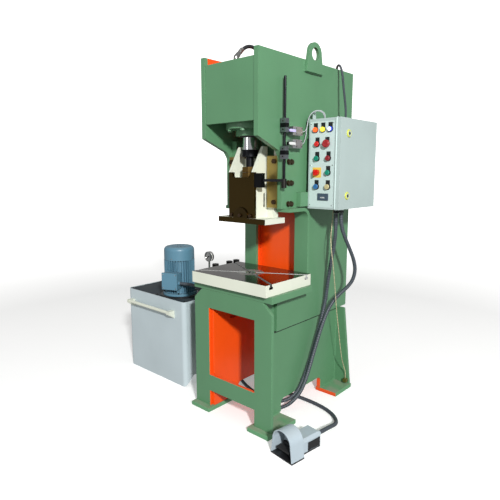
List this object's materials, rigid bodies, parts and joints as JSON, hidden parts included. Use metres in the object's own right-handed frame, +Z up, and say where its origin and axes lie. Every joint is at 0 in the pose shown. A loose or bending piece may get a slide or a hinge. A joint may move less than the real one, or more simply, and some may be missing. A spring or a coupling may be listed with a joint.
{
  "type": "c-frame hydraulic press",
  "caption": "Floor-standing C-frame hydraulic press with guided ram, T-slotted table, side control panel, tank and motor power pack and foot pedal.",
  "frame": {"origin": "on the floor, under the middle in plan of the press, panel, power pack and pedal together", "axes": "+Z up, +X to the machine's right as its operator faces it, +Y to the rear"},
  "size_m": [1.6748, 1.0236, 2.1279],
  "materials": {
    "frame_green": "semi-gloss hammered green enamel",
    "guard_orange": "semi-gloss orange enamel",
    "slide_cream": "semi-gloss cream enamel",
    "ground_steel": "ground and oiled",
    "black_steel": "blackened and oiled",
    "chrome": "hard chrome plated",
    "brass": "machined",
    "panel_grey": "textured light grey powder coat",
    "tank_grey": "semi-gloss grey blue enamel",
    "lid_dark": "dark satin enamel",
    "motor_blue": "teal blue enamel",
    "pedal_grey": "pale grey blue enamel",
    "black_plastic": "moulded",
    "red_plastic": "moulded",
    "green_plastic": "moulded",
    "maroon_plastic": "moulded",
    "blue_plastic": "moulded",
    "cream_plastic": "moulded",
    "lamp_plastic": "translucent moulded lenses",
    "switch_grey": "die-cast look",
    "cable_black": "smooth sheath",
    "earth_sheath": "twisted sheath"
  },
  "bodies": {
    "frame": {"side_plate_left": "frame_green", "side_plate_right": "frame_green", "head_front_plate": "frame_green", "throat_flanges": "frame_green", "column_web": "guard_orange", "column_rear_plate": "frame_green", "frame_brackets": "frame_green", "base_side_plates": "guard_orange", "base_end_plates": "frame_green", "foot_pads": "frame_green", "table_support_plate": "frame_green", "table": "ground_steel", "guide_blocks": "slide_cream", "guide_gibs": "brass", "cylinder_mount_plate": "frame_green", "cylinder_barrel": "frame_green", "cylinder_gland": "frame_green", "frame_bolts": "black_steel", "switch_boxes": "switch_grey", "panel_box": "panel_grey", "panel_legends": "black_plastic", "panel_lamps": "lamp_plastic", "tank": "tank_grey", "tank_lid": "lid_dark", "motor_body": "motor_blue", "fan_cowl": "motor_blue", "valve_manifold": "ground_steel", "pedal_base": "black_steel", "pedal_housing": "pedal_grey", "motor_cable": "cable_black", "pedal_cable": "cable_black", "head_conduit": "cable_black", "earth_wire": "earth_sheath", "switch_cables": "cable_black", "hydraulic_hoses": "cable_black"},
    "ram": {"piston_rod": "chrome", "slide_fasteners": "brass", "slide_body": "slide_cream", "slide_face_plate": "ground_steel", "ram_platen": "ground_steel", "shank_clamp": "black_steel", "trip_arm": "black_steel", "trip_rod": "black_steel", "trip_dogs": "ground_steel"},
    "limit_lever_upper": {"limit_lever_upper": "ground_steel"},
    "limit_lever_lower": {"limit_lever_lower": "ground_steel"},
    "panel_door": {"panel_door": "panel_grey"},
    "door_lock_lower": {"door_lock_lower": "black_plastic"},
    "door_lock_upper": {"door_lock_upper": "black_plastic"},
    "emergency_stop": {"emergency_stop": "red_plastic"},
    "isolator_knob": {"isolator_knob": "red_plastic"},
    "motor_rotor": {"motor_rotor": "ground_steel"},
    "gauge_needle": {"gauge_needle": "black_steel"},
    "pedal_treadle": {"pedal_treadle": "black_steel"},
    "button_red": {"button_red": "red_plastic"},
    "button_green": {"button_green": "green_plastic"},
    "button_maroon": {"button_maroon": "maroon_plastic"},
    "button_green_lower": {"button_green_lower": "green_plastic"},
    "button_blue": {"button_blue": "blue_plastic"},
    "button_cream": {"button_cream": "cream_plastic"}
  },
  "joints": [
    {"name": "ram_stroke", "type": "slide", "parent": "frame", "child": "ram", "axis": [0, 0, -1], "range_m": [0, 0.2]},
    {"name": "limit_upper_pivot", "type": "hinge", "parent": "frame", "child": "limit_lever_upper", "pos_m": [0.54361, -0.15021, 1.64], "axis": [1, 0, 0], "range_deg": [-25, 25], "stiffness_Nm_per_rad": 0.6},
    {"name": "limit_lower_pivot", "type": "hinge", "parent": "frame", "child": "limit_lever_lower", "pos_m": [0.54361, -0.15021, 1.573], "axis": [1, 0, 0], "range_deg": [-25, 25], "stiffness_Nm_per_rad": 0.6},
    {"name": "door_hinge", "type": "hinge", "parent": "frame", "child": "panel_door", "pos_m": [0.71061, 0.41179, 1.465], "axis": [0, 0, 1], "range_deg": [0, 110]},
    {"name": "lock_lower_turn", "type": "hinge", "parent": "panel_door", "child": "door_lock_lower", "pos_m": [0.73461, 0.08279, 1.294], "axis": [1, 0, 0], "range_deg": [0, 90]},
    {"name": "lock_upper_turn", "type": "hinge", "parent": "panel_door", "child": "door_lock_upper", "pos_m": [0.73461, 0.08279, 1.63], "axis": [1, 0, 0], "range_deg": [0, 90]},
    {"name": "stop_press", "type": "slide", "parent": "frame", "child": "emergency_stop", "axis": [0, 1, 0], "range_m": [0, 0.005], "stiffness_N_per_m": 1200},
    {"name": "isolator_turn", "type": "hinge", "parent": "frame", "child": "isolator_knob", "pos_m": [0.58961, -0.00821, 1.421], "axis": [0, 1, 0], "range_deg": [0, 90]},
    {"name": "rotor_spin", "type": "hinge", "parent": "frame", "child": "motor_rotor", "pos_m": [-0.41539, -0.16521, 0.7], "axis": [0, 0, 1], "continuous": true},
    {"name": "gauge_turn", "type": "hinge", "parent": "frame", "child": "gauge_needle", "pos_m": [-0.35239, 0.04929, 0.828], "axis": [0, 1, 0], "range_deg": [0, 270], "stiffness_Nm_per_rad": 0.002, "springref_deg": -11.46},
    {"name": "pedal_press", "type": "hinge", "parent": "frame", "child": "pedal_treadle", "pos_m": [0.75935, -0.43189, 0.042], "axis": [0.9903, -0.1392, 0], "range_deg": [0, 12], "stiffness_Nm_per_rad": 10, "springref_deg": -6.88},
    {"name": "red_press", "type": "slide", "parent": "frame", "child": "button_red", "axis": [0, 1, 0], "range_m": [0, 0.004], "stiffness_N_per_m": 600},
    {"name": "green_press", "type": "slide", "parent": "frame", "child": "button_green", "axis": [0, 1, 0], "range_m": [0, 0.004], "stiffness_N_per_m": 600},
    {"name": "maroon_press", "type": "slide", "parent": "frame", "child": "button_maroon", "axis": [0, 1, 0], "range_m": [0, 0.004], "stiffness_N_per_m": 600},
    {"name": "green_lower_press", "type": "slide", "parent": "frame", "child": "button_green_lower", "axis": [0, 1, 0], "range_m": [0, 0.004], "stiffness_N_per_m": 600},
    {"name": "blue_press", "type": "slide", "parent": "frame", "child": "button_blue", "axis": [0, 1, 0], "range_m": [0, 0.004], "stiffness_N_per_m": 600},
    {"name": "cream_press", "type": "slide", "parent": "frame", "child": "button_cream", "axis": [0, 1, 0], "range_m": [0, 0.004], "stiffness_N_per_m": 600}
  ]
}
